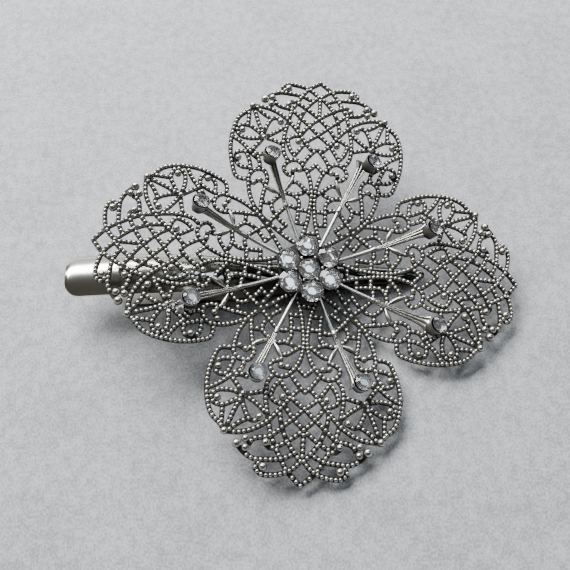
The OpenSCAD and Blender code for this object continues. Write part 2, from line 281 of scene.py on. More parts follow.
@dataclass(frozen=True)
class Nodes:
    """Adds nodes to the shader tree of a material or a group.

    Attributes:
        tree: the tree.
    """

    tree: Tree

    def join(self, value: Feed, socket: Socket) -> None:
        """Links a value to an input, or sets the input to it.

        Args:
            value: an output of another node, a number, a vector or a colour.
            socket: the input.
        """
        if isinstance(value, Socket):
            self.tree.links.new(value, socket)
        else:
            socket.default_value = (*value, 1.0) if socket.type == "RGBA" else value

    def feed(self, node: Node, inputs: dict[str, Feed]) -> None:
        """Gives values to a node's inputs, by their names."""
        for label, value in inputs.items():
            self.join(value, node.inputs[label])

    def add(self, kind: str, inputs: dict[str, Feed]) -> Node:
        """Adds a node.

        Args:
            kind: Blender's name for it, after ShaderNode.
            inputs: values for its inputs, by their names.

        Returns:
            The node.
        """
        node = self.tree.nodes.new(f"ShaderNode{kind}")
        self.feed(node, inputs)
        return node

    def math(self, operation: str, *values: Socket | float, clamp: bool = False) -> Socket:
        """Works out a value from others.

        Args:
            operation: Blender's name for what the Math node does.
            values: a socket or a number for each of its inputs.
            clamp: True to hold the result between 0 and 1.

        Returns:
            The result's socket.
        """
        node = self.add("Math", {})
        node.operation = operation
        node.use_clamp = clamp
        for socket, value in zip(node.inputs, values):
            self.join(value, socket)
        return node.outputs[0]

    def ranged(self, value: Socket, low: float, high: float) -> Socket:
        """Maps a value from 0..1 to low..high, held at both ends."""
        inputs = {"Value": value, "To Min": low, "To Max": high}
        return self.add("MapRange", inputs).outputs["Result"]

    def blend(self, share: Socket, low: Socket | Triple, high: Socket | Triple) -> Socket:
        """Blends two colours by a value.

        Args:
            share: 0 for the first colour, 1 for the second.
            low: the first colour, or its socket.
            high: the second colour, or its socket.

        Returns:
            The blended colour's socket.
        """
        node = self.add("Mix", {})
        node.data_type = "RGBA"
        self.feed(node, {"Factor": share, "A": low, "B": high})
        return node.outputs["Result"]

    def noise(self, scale: float, detail: float, stretch: Triple = (1, 1, 1)) -> Socket:
        """Noise on Object coordinates.

        Args:
            scale: in turns per metre.
            detail: octaves of the noise.
            stretch: factors on the three coordinates.

        Returns:
            The noise's value socket.
        """
        place = self.add("TexCoord", {}).outputs["Object"]
        mapped = self.add("Mapping", {"Vector": place, "Scale": stretch}).outputs["Vector"]
        inputs = {"Vector": mapped, "Scale": scale, "Detail": detail}
        return self.add("TexNoise", inputs).outputs["Fac"]

    def tone(self) -> Socket:
        """Reads the tone that a skin gives to its points.

        Returns:
            The tone's socket.
        """
        node = self.add("Attribute", {})
        node.attribute_name = "tone"
        return node.outputs["Fac"]

    def group(self, shared: Tree, inputs: dict[str, Feed]) -> bpy.types.NodeOutputs:
        """Puts a shared group in the tree with values of its own.

        Args:
            shared: the group.
            inputs: values for its inputs, by their names.

        Returns:
            Its outputs.
        """
        node = self.add("Group", {})
        node.node_tree = shared
        self.feed(node, inputs)
        return node.outputs

    def bump(self, height: Socket, strength: float, depth: float) -> Socket:
        """The normal of a surface that a height raises by up to a depth in millimetres."""
        inputs = {"Height": height, "Strength": strength, "Distance": depth * MM}
        return self.add("Bump", inputs).outputs["Normal"]


def new_group(
    name: str, inputs: dict[str, float], outputs: dict[str, str]
) -> tuple[Nodes, bpy.types.NodeOutputs, Node]:
    """An empty shader node group with named sockets.

    Args:
        name: the group's name.
        inputs: value sockets and their defaults.
        outputs: output sockets and their types, Float or Color.

    Returns:
        What adds to the group, the outputs of its input node, and its output node.
    """
    group = bpy.data.node_groups.new(name, "ShaderNodeTree")
    for label, value in inputs.items():
        socket = group.interface.new_socket(label, in_out="INPUT", socket_type="NodeSocketFloat")
        socket.default_value = value
    for label, kind in outputs.items():
        group.interface.new_socket(label, in_out="OUTPUT", socket_type=f"NodeSocket{kind}")
    inside = group.nodes.new("NodeGroupInput").outputs
    return Nodes(group), inside, group.nodes.new("NodeGroupOutput")


@cache
def tarnish_group() -> Tree:
    """Oxidised plating: dark in the recesses and rubbed bright on the tops.

    The tone is shifted by a slow noise, then sets colour, roughness and metal together. A fine
    noise is the grain of the cast or rubbed surface.

    Returns:
        The group, with inputs Tone, Mottle and Grain.
    """
    nodes, inside, outside = new_group(
        "Tarnish",
        {"Tone": 1.0, "Mottle": 0.35, "Grain": 1.0},
        {"Color": "Color", "Roughness": "Float", "Metal": "Float", "Height": "Float"},
    )
    slow = nodes.math("SUBTRACT", nodes.noise(650.0, 3.0), 0.5)
    shift = nodes.math("MULTIPLY", slow, inside["Mottle"])
    tone = nodes.math("ADD", inside["Tone"], shift, clamp=True)
    ramp = nodes.add("ValToRGB", {"Fac": tone})
    colours = {
        0.0: (0.010, 0.009, 0.008),
        0.28: (0.036, 0.033, 0.029),
        0.62: (0.22, 0.21, 0.19),
        1.0: (0.80, 0.785, 0.745),
    }
    elements = ramp.color_ramp.elements
    for position in list(colours)[1:-1]:
        elements.new(position)
    for element, colour in zip(elements, colours.values()):
        element.color = (*colour, 1.0)
    results = {
        "Color": ramp.outputs["Color"],
        "Roughness": nodes.ranged(tone, 0.62, 0.2),
        "Metal": nodes.ranged(tone, 0.45, 1.0),
        "Height": nodes.math("MULTIPLY", nodes.noise(5200.0, 2.0), inside["Grain"]),
    }
    nodes.feed(outside, results)
    return nodes.tree


@cache
def brushing_group() -> Tree:
    """Fine lines of brushed plating across the clip, with a slow cloud of wear.

    Returns:
        The group, with inputs Base and Spread of the roughness.
    """
    nodes, inside, outside = new_group(
        "Brushing",
        {"Base": 0.25, "Spread": 0.12},
        {"Shade": "Float", "Roughness": "Float", "Height": "Float"},
    )
    lines = nodes.noise(900.0, 4.0, (2.4, 0.05, 0.05))
    cloud = nodes.noise(90.0, 3.0)
    results = {
        "Shade": nodes.ranged(nodes.math("MULTIPLY", lines, cloud), 0.80, 1.12),
        "Roughness": nodes.math("MULTIPLY_ADD", cloud, inside["Spread"], inside["Base"]),
        "Height": lines,
    }
    nodes.feed(outside, results)
    return nodes.tree


def new_material(name: str, colour: Triple) -> tuple[Material, Nodes, Node]:
    """A material with a Principled BSDF.

    Args:
        name: the material's name.
        colour: its base colour.

    Returns:
        The material, what adds to its tree, and its Principled BSDF.
    """
    material = bpy.data.materials.new(name)
    material.use_nodes = True
    nodes = Nodes(material.node_tree)
    shader = material.node_tree.nodes["Principled BSDF"]
    nodes.feed(shader, {"Base Color": colour})
    return material, nodes, shader


@dataclass(frozen=True)
class TarnishedSilver:
    """Oxidised silver plating whose brightness follows the surface's tone."""

    name: str = "tarnished_silver"
    mottle: float = 0.35
    depth: float = 0.02

    def build(self) -> Material:
        """Makes the material.

        Returns:
            The material.
        """
        material, nodes, shader = new_material(self.name, (0.6, 0.6, 0.6))
        plating = nodes.group(tarnish_group(), {"Tone": nodes.tone(), "Mottle": self.mottle})
        inputs = {
            "Base Color": plating["Color"],
            "Roughness": plating["Roughness"],
            "Metallic": plating["Metal"],
            "Normal": nodes.bump(plating["Height"], 0.5, self.depth),
        }
        nodes.feed(shader, inputs)
        return material


@dataclass(frozen=True)
class BrushedPlate:
    """Nickel or steel with fine lines across the clip.

    Attributes:
        name: the material's name.
        colour: the bare metal's colour.
        base: its roughness where it is polished.
        spread: how much rougher it gets where it is worn.
        depth: depth of the fine lines in millimetres.
        paints_shade: True to let the surface's tone darken it with painted shade, for a mesh that has
            one.
        worn: what is left of the colour in the darkest cloud.
        dull: what is left of it at a tone of 0, in the painted shade.
    """

    name: str
    colour: Triple
    base: float = 0.22
    spread: float = 0.12
    depth: float = 0.004
    paints_shade: bool = False
    worn: float = 0.55
    dull: float = 0.06

    def build(self) -> Material:
        """Makes the material.

        Returns:
            The material.
        """
        material, nodes, shader = new_material(self.name, self.colour)
        brushed = nodes.group(brushing_group(), {"Base": self.base, "Spread": self.spread})
        worn, dull = (tuple(share * c for c in self.colour) for share in (self.worn, self.dull))
        tint = nodes.blend(brushed["Shade"], worn, self.colour)
        inputs = {
            # Painted shade: where the mesh's tone is low, the colour darkens towards its painted-shade
            # share.
            "Base Color": nodes.blend(nodes.tone(), dull, tint) if self.paints_shade else tint,
            "Roughness": brushed["Roughness"],
            "Metallic": 1.0,
            "Normal": nodes.bump(brushed["Height"], 0.4, self.depth),
        }
        nodes.feed(shader, inputs)
        return material


@dataclass(frozen=True)
class CutGlass:
    """Clear glass of a stone's crown."""

    name: str = "cut_glass"
    ior: float = 1.58

    def build(self) -> Material:
        """Makes the material.

        Returns:
            The material.
        """
        material, nodes, shader = new_material(self.name, (1.0, 1.0, 1.0))
        nodes.feed(shader, {"Roughness": 0.0, "IOR": self.ior, "Transmission Weight": 1.0})
        return material


@dataclass(frozen=True)
class FoiledBack:
    """A stone's pavilion: bright foil seen through the glass, dull lacquer from outside.

    Attributes:
        name: the material's name.
        bright: the foil's colour between the warm patches.
        painted_reflection: its colour in patches that noise spreads at random, a painted reflection of
            warm surroundings.
        lacquer: the colour of the outside.
        blur: the foil's roughness.
        metal: how much of the foil is a mirror; the rest scatters.
    """

    name: str = "foiled_back"
    bright: Triple = (0.95, 0.97, 1.0)
    painted_reflection: Triple = (0.88, 0.84, 0.84)
    lacquer: Triple = (0.16, 0.155, 0.14)
    blur: float = 0.05
    metal: float = 0.88

    def build(self) -> Material:
        """Makes the material.

        Returns:
            The material.
        """
        material, nodes, shader = new_material(self.name, self.bright)
        # Painted reflection: noise mixes warm patches into the foil, for the warm surroundings seen in
        # the lower facets.
        foil = nodes.blend(nodes.noise(260.0, 1.0), self.painted_reflection, self.bright)
        inside = nodes.add("NewGeometry", {}).outputs["Backfacing"]
        inputs = {
            "Base Color": nodes.blend(inside, self.lacquer, foil),
            "Roughness": nodes.ranged(inside, 0.42, self.blur),
            "Metallic": self.metal,
        }
        nodes.feed(shader, inputs)
        return material


@dataclass(frozen=True)
class DullSolder:
    """Grey solder or glue with a lumpy surface."""

    name: str = "dull_solder"
    colour: Triple = (0.30, 0.29, 0.27)

    def build(self) -> Material:
        """Makes the material.

        Returns:
            The material.
        """
        material, nodes, shader = new_material(self.name, self.colour)
        lumps = nodes.noise(700.0, 3.0)
        normal = nodes.bump(lumps, 0.6, 0.08)
        roughness = nodes.ranged(lumps, 0.35, 0.6)
        nodes.feed(shader, {"Metallic": 0.7, "Roughness": roughness, "Normal": normal})
        return material


@dataclass(frozen=True)
class Felt:
    """Pale grey felt of the floor."""

    name: str = "felt"
    light: Triple = (0.58, 0.585, 0.605)
    dark: Triple = (0.34, 0.345, 0.36)

    def build(self) -> Material:
        """Makes the material, whose light share is 3.2 fibres + 1.8 tufts + a cloud - 2.5.

        Returns:
            The material.
        """
        material, nodes, shader = new_material(self.name, self.light)
        cloud = nodes.noise(70.0, 5.0)
        tuft = nodes.noise(600.0, 4.0, (1.0, 0.75, 1.0))
        fibre = nodes.noise(3000.0, 3.0, (1.0, 0.7, 1.0))
        soft = nodes.math("MULTIPLY_ADD", tuft, 1.8, cloud)
        both = nodes.math("MULTIPLY_ADD", fibre, 3.2, soft)
        share = nodes.math("SUBTRACT", both, 2.5, clamp=True)
        inputs = {
            "Base Color": nodes.blend(share, self.dark, self.light),
            "Roughness": 0.95,
            "Normal": nodes.bump(fibre, 0.5, 0.14),
        }
        nodes.feed(shader, inputs)
        return material


class Finish(Enum):
    """The finishes, by the part of the clip that wears them."""

    FILIGREE = TarnishedSilver()
    RUBBED = TarnishedSilver("rubbed_silver", mottle=0.12, depth=0.006)
    NICKEL = BrushedPlate("nickel", (0.83, 0.84, 0.79), base=0.13, spread=0.1)
    # The arm's nickel, darkened by painted shade where its tone is low, under the flower.
    ARM = replace(NICKEL, name="arm_nickel", paints_shade=True)
    # The lower arm's dark colour is painted shade, for the shade under the upper arm and the flower.
    LOWER_ARM_SHADE = BrushedPlate("lower_arm_painted_shade", (0.20, 0.19, 0.175), base=0.3)
    SPRING = BrushedPlate("spring_steel", (0.45, 0.45, 0.45), base=0.3)
    GLASS = CutGlass()
    BACK = FoiledBack()
    WORN_BACK = FoiledBack(
        "worn_back", bright=(0.56, 0.59, 0.62), painted_reflection=(0.43, 0.41, 0.40), blur=0.17, metal=0.7
    )
    # The setting's near-black colour is painted shade in the deep gaps between the cluster's stones.
    SETTING = BrushedPlate("setting", (0.10, 0.095, 0.09), base=0.3)
    SOLDER = DullSolder()
    FELT = Felt()

    @cache
    def material(self) -> Material:
        """The material of the finish, made the first time."""
        return self.value.build()


# The flower


@dataclass(frozen=True)
class PetalBend:
    """How the flat sheet of a petal is pressed: flat, hollow, straight, then domed."""

    flat_r: float = 6.0
    hollow_r: float = 40.0
    slope: float = 16.0
    run_l: float = 3.3
    dome_r: float = 44.0

    def rise(self, u: np.ndarray) -> tuple[np.ndarray, np.ndarray, np.ndarray]:
        """Follows the pressed sheet along a petal.

        The slope is 0 up to flat_r, grows with the arc length over hollow_r up to slope, stays
        for run_l, then falls with the arc length over dome_r. Distance and height are the
        sums of the slope's cosine and sine.

        Args:
            u: distance along the flat sheet.

        Returns:
            Distance from the middle in plan, height, and slope in radians.
        """
        top = math.radians(self.slope)
        grown = np.clip((u - self.flat_r) / self.hollow_r, 0, top)
        past = u - self.flat_r - self.hollow_r * top
        run = np.clip(past, 0, self.run_l)
        fallen = np.maximum(past - self.run_l, 0) / self.dome_r
        x = np.minimum(u, self.flat_r) + self.hollow_r * np.sin(grown) + run * math.cos(top)
        x += self.dome_r * (math.sin(top) - np.sin(top - fallen))
        z = self.hollow_r * (1 - np.cos(grown)) + run * math.sin(top)
        z += self.dome_r * (np.cos(top - fallen) - math.cos(top))
        return x, z, grown - fallen

    def over(self, x: float) -> tuple[float, float]:
        """Looks up the pressed sheet over a distance in plan.

        Args:
            x: distance from the middle in plan.

        Returns:
            Height, and slope in radians.
        """
        plan, height, slope = self.rise(np.linspace(0, 42, 4201))
        return float(np.interp(x, plan, height)), float(np.interp(x, plan, slope))

    def place(self, u: np.ndarray, v: np.ndarray, h: np.ndarray) -> np.ndarray:
        """Puts points of the flat sheet on the first petal: plan place plus h along the normal.

        Args:
            u: along the petal.
            v: across it.
            h: above the middle of the sheet.

        Returns:
            Points in the flower's frame.
        """
        x, z, a = self.rise(u)
        return np.stack([x - h * np.sin(a), v + 0 * u, z + h * np.cos(a)], axis=-1)


@dataclass(frozen=True)
class FlowerPlace:
    """Where the flower sits on the clip."""

    height: float = 5.5
    tilt: Triple = (10.0, 8.0, -5.5)

    def apply(self, skin: Skin) -> Skin:
        """Moves a skin from the flower's frame to the clip's."""
        return skin.moved(self.tilt, (0, 0, self.height))


@dataclass(frozen=True)
class Wire:
    """One beaded line of the tracery: its name and the points of the flat half petal that it
    runs through. A line on the petal's axis isn't mirrored."""

    name: str
    knots: tuple[tuple[float, float], ...]
    on_axis: bool = False


# The tracery of half a petal, read from the photograph
WIRES = (
    Wire("row", ((7, 1.6), (9.5, 0.9), (12.2, 0.5), (16.5, 0.45), (19.2, 1.2), (21.4, 2.7))),
    Wire("row tie", ((7.6, -1.4), (7.6, 1.4)), True),
    Wire("row end", ((6, 1.9), (7, 1.6))),
    Wire("chevron", ((21.7, 0), (20.1, 1.6))),
    Wire("outer chevron", ((24.9, 0), (22.9, 1.8), (21.4, 2.7))),
    Wire("column", ((9.45, 0.9), (9.5, 2.9))),
    Wire("second row", ((9.5, 2.9), (12.3, 2.7), (14.1, 2.8), (15.2, 4.2), (15.3, 5.6))),
    Wire("ring", ((12.3, 0.5), (12.3, 2.7), (12.8, 4.3), (12.5, 5.2), (11.2, 6.5), (8.8, 8.4))),
    Wire("bow", ((15.4, 0.5), (16.8, 2.2), (17.8, 3.8), (17.6, 4.6))),
    Wire("bow tie", ((16, 1.8), (15.2, 3.7), (15.3, 5.1))),
    Wire("inner fork", ((8.8, 4.9), (7.4, 6.3))),
    Wire("wave", ((8.8, 4.9), (10.4, 6.9), (11.8, 7.9), (12.9, 8.1), (13.7, 7.6), (14.8, 6.3))),
    Wire("wave tie", ((12.95, 8.1), (12.95, 10.1))),
    Wire(
        "side",
        ((5.4, 3.2), (6.8, 5.5), (8.3, 7.6), (10, 9.7), (11.9, 11.4), (14.4, 12.6), (17.9, 13.1)),
    ),
    Wire("side bow", ((10.7, 10.2), (13.5, 10.1), (16.3, 9.6))),
    Wire("side loop", ((16.3, 9.7), (18, 9.45), (19.4, 10.3), (19.3, 12), (17.9, 13.1))),
    Wire("side pearls", ((16.3, 9.7), (17.35, 10.9), (16.7, 12), (16.6, 12.9))),
    Wire("axis pearls", ((18.7, 4.4), (20.1, 4.4), (20.3, 3.2), (20.6, 2.2))),
    Wire("axis loop", ((19.1, 4.2), (19, 5.1), (20.2, 6.4), (21.7, 5.6), (22.2, 4.1), (21.4, 2.7))),
    Wire("first rib", ((24.3, 0.9), (26, 2.5), (28.3, 4.3), (31.3, 7.4), (32.5, 10), (32.7, 13.6))),
    Wire("second rib", ((27.9, 0), (29.8, 2), (31.2, 3.6), (32.9, 5.6), (34, 8.9), (34.8, 9.3))),
    Wire("third rib", ((31.6, 0), (33.3, 2.2), (34.5, 4.2), (35, 5.7), (34.1, 6.5))),
    Wire("fourth rib", ((35.5, 1.4), (36.6, 3.5), (36.9, 6), (36.8, 8.6), (36, 10), (34.6, 11.3))),
    Wire("fifth rib", ((36.8, 0.3), (38.6, 2.3), (39.3, 4.5), (39.1, 7.2), (38.3, 7.9), (37.6, 7.4))),
    Wire("tip", ((38.9, 2.2), (39.7, 1.3), (40.78, 0))),
    Wire("axis bar", ((31.6, 0), (36.8, 0)), True),
    Wire("first return", ((27.9, 0), (26, 2.4), (23.8, 4), (23.1, 4.5))),
    Wire("second return", ((31.5, 0), (30, 1.7), (27.7, 3.4))),
    Wire("third return", ((36.8, 0.2), (34.7, 2.1), (31.9, 3.6), (28.4, 4.3))),
    Wire(
        "fourth return",
        ((38.9, 2.3), (36.1, 4), (32.8, 5.6), (29.3, 6.4), (25.9, 6.9), (23.1, 6.5), (21.8, 5.5)),
    ),
    Wire("drop", ((23.1, 4.5), (25.4, 5.9), (26.3, 6), (26.9, 5.3), (27.4, 3.6))),
    Wire("ray 1", ((26, 10.3), (25.8, 9.2), (25.1, 6.9))),
    Wire("ray 2", ((26.4, 10.3), (27.4, 8.7), (29.3, 6.5))),
    Wire("ray 3", ((26.6, 10.9), (28.4, 11.9), (31, 12.9), (32.7, 13.6))),
    Wire("ray 4", ((26.6, 11), (28.8, 10.4), (30.3, 9.6))),
    Wire("ray 5", ((26.6, 11.3), (27.6, 12.7), (28.3, 14.2), (27.9, 15.9), (27, 16.3), (25.7, 15.3))),
    Wire("ray 6", ((26, 11.4), (25.6, 12.8), (25.7, 15.3))),
    Wire("ray 7", ((25.6, 11.2), (24.6, 11.9), (22.9, 13.3))),
    Wire("ray 8", ((28.3, 14.2), (31.8, 14.2))),
    Wire("ray 9", ((30.3, 9.6), (31.2, 11.3), (32.4, 12.7))),
    Wire("ray 10", ((29.9, 7.8), (30.6, 8.6), (30.4, 9.5))),
    Wire("mouth link", ((23.3, 12.9), (22.5, 11.9), (22.9, 10.4))),
    Wire("mouth root", ((21.2, 11.4), (22.5, 11.9))),
    Wire("fork", ((19.5, 11.2), (21.2, 11.4), (22.3, 12.8), (24.2, 14.8), (25.5, 17.1))),
    Wire("curl", ((18.7, 12.8), (21.2, 13.4), (22.7, 14.3), (22.3, 15.9), (20.1, 15.6), (19.6, 13.1))),
    Wire(
        "lobe",
        ((17.4, 13.1), (17.7, 15.7), (19.3, 16.4), (22.8, 17.2), (26.6, 17.1), (30, 16),
         (31.8, 14.2), (32.7, 13.6)),
    ),
)


@dataclass(frozen=True)
class Pearl:
    """A large bead of the half petal: place on the flat sheet and radius."""

    u: float
    v: float
    radius: float


PEARLS = (
    Pearl(27.1, 15.25, 0.66),
    Pearl(21.3, 15.55, 0.66),
    Pearl(26.1, 3.9, 0.68),
    Pearl(29.9, 7.8, 0.72),
    Pearl(20.1, 4.4, 0.57),
    Pearl(20.3, 3.2, 0.57),
    Pearl(17.35, 10.9, 0.58),
    Pearl(16.7, 12.0, 0.56),
    Pearl(33.7, 9.9, 0.68),
    Pearl(34.6, 11.3, 0.8),
    Pearl(35.2, 9.8, 0.7),
    Pearl(34.1, 6.4, 0.68),
    Pearl(38.1, 6.6, 0.76),
    Pearl(32.7, 13.6, 0.7),
    Pearl(26.05, 10.86, 0.54),
)


@dataclass
class FiligreeFlower:
    """The pressed flower: beaded tracery of four petals, stems with mouths, and side leaves.

    Attributes:
        bend: how a petal is pressed.
        place: where the flower sits.
        pitch: distance from bead to bead along a line.
        bead_r: radius of a small bead.
        bead_top: how far its tip stands over its foot.
        bead_up: height of the foot of every bead.
        bead_sunk: height of the lower edge of its skirt.
        bead_sides: points round a small bead.
        bead_gap: least distance between the middles of two small beads.
        pearl_gap: how far a small bead's middle stays off a large bead.
        pearl_sides: points round a large bead.
        seam: beads this near the line between two petals are shared by them.
        band_w: half width of the bands under the beads.
        band_step: distance between two sections of a band.
        band_low, band_mid, band_top: heights of a band's underside, widest part and top.
        stem_angle: degrees from the petal's axis to a stem.
        stem_r: radius of a stem.
        stem_in: distance from the middle at which it starts.
        stem_up: height of its middle line.
        mouth_in, mouth_out: distances at which its mouth starts and ends.
    """

    bend: PetalBend = field(default_factory=PetalBend)
    place: FlowerPlace = field(default_factory=FlowerPlace)
    pitch: float = 0.84
    bead_r: float = 0.4
    bead_top: float = 0.44
    bead_up: float = 0.02
    bead_sunk: float = -0.16
    bead_sides: int = 10
    bead_gap: float = 0.55
    pearl_gap: float = 0.15
    pearl_sides: int = 16
    seam: float = 0.42
    band_w: float = 0.46
    band_step: float = 0.55
    band_low: float = -0.4
    band_mid: float = -0.1
    band_top: float = 0.06
    stem_angle: float = 22.5
    stem_r: float = 0.4
    stem_in: float = 5.2
    stem_up: float = 0.42
    mouth_in: float = 13.8
    mouth_out: float = 24.9

    def lines(self) -> list[tuple[np.ndarray, float]]:
        """The tracery's lines of the first petal, both halves, each with a height offset.

        The offset keeps two bands that cross from lying in one plane.

        Returns:
            Pairs of (n, 2) knots on the flat sheet and the offset.
        """
        found = []
        for number, wire in enumerate(WIRES):
            offset = 0.012 * (number % 5)
            knots = np.array(wire.knots)
            found.append((knots, offset))
            if not wire.on_axis:
                found.append((knots * [1, -1], offset + 0.006))
        return found

    def sweep(
        self,
        line: np.ndarray,
        half: np.ndarray,
        across: np.ndarray,
        up: np.ndarray,
        tone: np.ndarray,
    ) -> Skin:
        """Carries a section along a line on the sheet.

        Args:
            line: (n, 2) places on the flat sheet.
            half: (n,) half widths.
            across: (m,) the section's places across the line, in half widths.
            up: (m,) or (n, m) its heights in millimetres.
            tone: (m,) its tones.

        Returns:
            The closed body.
        """
        along = directions(line)
        side = half[:, None] * across
        u = line[:, :1] - along[:, 1:] * side
        v = line[:, 1:] + along[:, :1] * side
        points = self.bend.place(u, v, up).reshape(-1, 3)
        return Skin(points, ring_faces(*side.shape), np.tile(tone, len(line)))

    def ray(self, r: np.ndarray) -> np.ndarray:
        """Places on the flat sheet at these distances from the middle, along a stem."""
        a = math.radians(self.stem_angle)
        return np.stack([r * math.cos(a), r * math.sin(a)], axis=1)

    def band(self, knots: np.ndarray, offset: float) -> Skin:
        """The flat band under a line of beads.

        A six-sided section is carried along the line. Its top and its underside are narrower
        than its middle, so its edges are rounded off.

        Args:
            knots: points that the line runs through.
            offset: added to the heights.

        Returns:
            The band, dark on its edges.
        """
        line = smooth_line(knots, self.band_step)
        across = np.array([0.8, 1.0, 0.8, -0.8, -1.0, -0.8])
        right = np.array([self.band_low, self.band_mid, self.band_top])
        up = np.concatenate([right, right[::-1]]) + offset
        tone = np.array([0.15, 0.05, 0.16, 0.16, 0.05, 0.15])
        return self.sweep(line, np.full(len(line), self.band_w), across, up, tone)

    def pearls(self) -> tuple[np.ndarray, np.ndarray]:
        """The large beads of the first petal, both halves.

        Returns:
            (n, 2) places on the flat sheet and (n,) radii.
        """
        both = np.array([(p.u, side * p.v, p.radius) for p in PEARLS for side in (1, -1)])
        return both[:, :2], both[:, 2]

    def seeds(self) -> np.ndarray:
        """Places of the small beads on the first petal, evenly along each line.

        A bead that would sit on one already placed, as where two lines meet, is left out. One
        that would touch its twin on the next petal is moved onto the line between the two
        petals, and only one of the pair is kept.

        Returns:
            (n, 2) places on the flat sheet.
        """
        kept, radius = self.pearls()
        large = len(kept)
        reach = radius + self.pearl_gap
        for knots, _ in self.lines():
            line = smooth_line(knots, self.pitch)
            gap = np.linalg.norm(line[:, None] - kept[None], axis=2)
            line = line[(gap > reach).all(axis=1)]
            kept = np.concatenate([kept, line])
            reach = np.concatenate([reach, np.full(len(line), self.bead_gap)])
        small = kept[large:]
        shared = np.abs(small[:, 0] - np.abs(small[:, 1])) < self.seam
        small[shared] = small[shared].mean(axis=1, keepdims=True)
        return small[~shared | (small[:, 1] > self.seam)]

    def domes(self, at: np.ndarray, radius: np.ndarray, top: np.ndarray, sides: int) -> Skin:
        """Round beads standing on the sheet.

        A bead is four rings and a tip: a skirt sunk in the band, then circles of
        radius * cos(p) at a height of top * sin(p) for p of 0, 35 and 65 degrees.

        Args:
            at: (n, 2) places on the flat sheet.
            radius: (n,) radii.
            top: (n,) heights of the tips.
            sides: points in a ring.

        Returns:
            The beads, dark at the skirt and bright at the tip.
        """
        ring = np.repeat(np.arange(4), sides)
        p = np.radians([0, 0, 35, 65])[ring]
        turn = np.concatenate([np.tile(full_turn(sides), 4), [0, 0]])
        out = np.concatenate([np.cos(p), [0, 0]])
        lift = np.concatenate([np.sin(p), [1, 0]])
        skirt, foot = self.bead_sunk, self.bead_up
        base = np.concatenate([np.where(ring == 0, skirt, foot), [foot, skirt]])
        u = at[:, None, 0] + radius[:, None] * out * np.cos(turn)
        v = at[:, None, 1] + radius[:, None] * out * np.sin(turn)
        points = self.bend.place(u, v, base + lift * top[:, None]).reshape(-1, 3)
        j = np.arange(sides)
        k = (j + 1) % sides
        bands = ring_faces(4, sides, closed=False)[0][0]
        tips = np.stack([3 * sides + j, 3 * sides + k, np.full(sides, 4 * sides)], 1)
        bases = np.stack([k, j, np.full(sides, 4 * sides + 1)], 1)
        start = (len(turn) * np.arange(len(at)))[:, None, None]
        faces = [((f + start).reshape(-1, f.shape[1]), 0) for f in (bands, tips, bases)]
        tone = np.concatenate([np.array([0.06, 0.36, 0.78, 0.97])[ring], [1.0, 0.0]])
        return Skin(points, faces, np.tile(tone, len(at)))

    def tracery(self) -> Skin:
        """Bands and beads of the first petal.

        Returns:
            All of them in one skin.
        """
        seeds = self.seeds()
        r, top = (np.full(len(seeds), size) for size in (self.bead_r, self.bead_top))
        small = self.domes(seeds, r, top, self.bead_sides)
        at, radius = self.pearls()
        large = self.domes(at, radius, radius * 0.95 + 0.1, self.pearl_sides)
        return Skin.joined([*(self.band(*line) for line in self.lines()), small, large])

    def stem(self) -> Skin:
        """A smooth round stem from under the cluster to its mouth, with a collar at its end.

        Its half width grows evenly from 0.82 to 1.05 of stem_r. At the collar it is more, by
        0.35 of itself times a bell curve that is 0.3 wide.

        Returns:
            The stem, dark on its underside and bright on its top.
        """
        r = np.linspace(self.stem_in, self.mouth_in + 0.9, 44)
        half = np.linspace(0.82, 1.05, len(r)) * self.stem_r
        half *= 1 + 0.35 * np.exp(-(((r - self.mouth_in) / 0.3) ** 2))
        turn = -full_turn(14)
        up = self.stem_up + half[:, None] * np.sin(turn)
        return self.sweep(self.ray(r), half, np.cos(turn), up, 0.5 + 0.5 * np.sin(turn))

    def mouth(self) -> Skin:
        """The stem's mouth: three pleats that spread into a flared, upturned rim.

        Along s from 0 to 1 the half width is 0.42 + 0.5 s^1.3 + 0.8 s^12. The height across t
        from -1 to 1 is a floor plus a crest times 1 - sin^4(pi t / 0.72), so broad pleats lie
        at t of -0.72, 0 and 0.72 and narrow grooves between them. Times 1 - t^8 it falls to
        nothing at both edges.

        Returns:
            The mouth, dark in its two grooves.
        """
        s = 1 - (1 - np.linspace(0, 1, 72)) ** 1.4
        t = np.linspace(1, -1, 41)
        half = 0.42 + 0.5 * s**1.3 + 0.8 * s**12
        crest = 1 - np.sin(np.pi * t / 0.72) ** 4
        edge = 1 - np.abs(t) ** 8
        rim = 0.4 * s**14
        floor = self.stem_up + 0.12 * s + rim
        top = (floor[:, None] + (0.07 + 0.2 * s - 0.35 * rim)[:, None] * crest) * edge
        up = np.concatenate([top, np.full((len(s), 2), -0.12)], axis=1)
        across = np.concatenate([t, [-0.9, 0.9]])
        tone = np.concatenate([0.3 + 0.66 * crest, [0.1, 0.1]])
        line = self.ray(self.mouth_in + (self.mouth_out - self.mouth_in) * s)
        return self.sweep(line, half, across, up, tone)

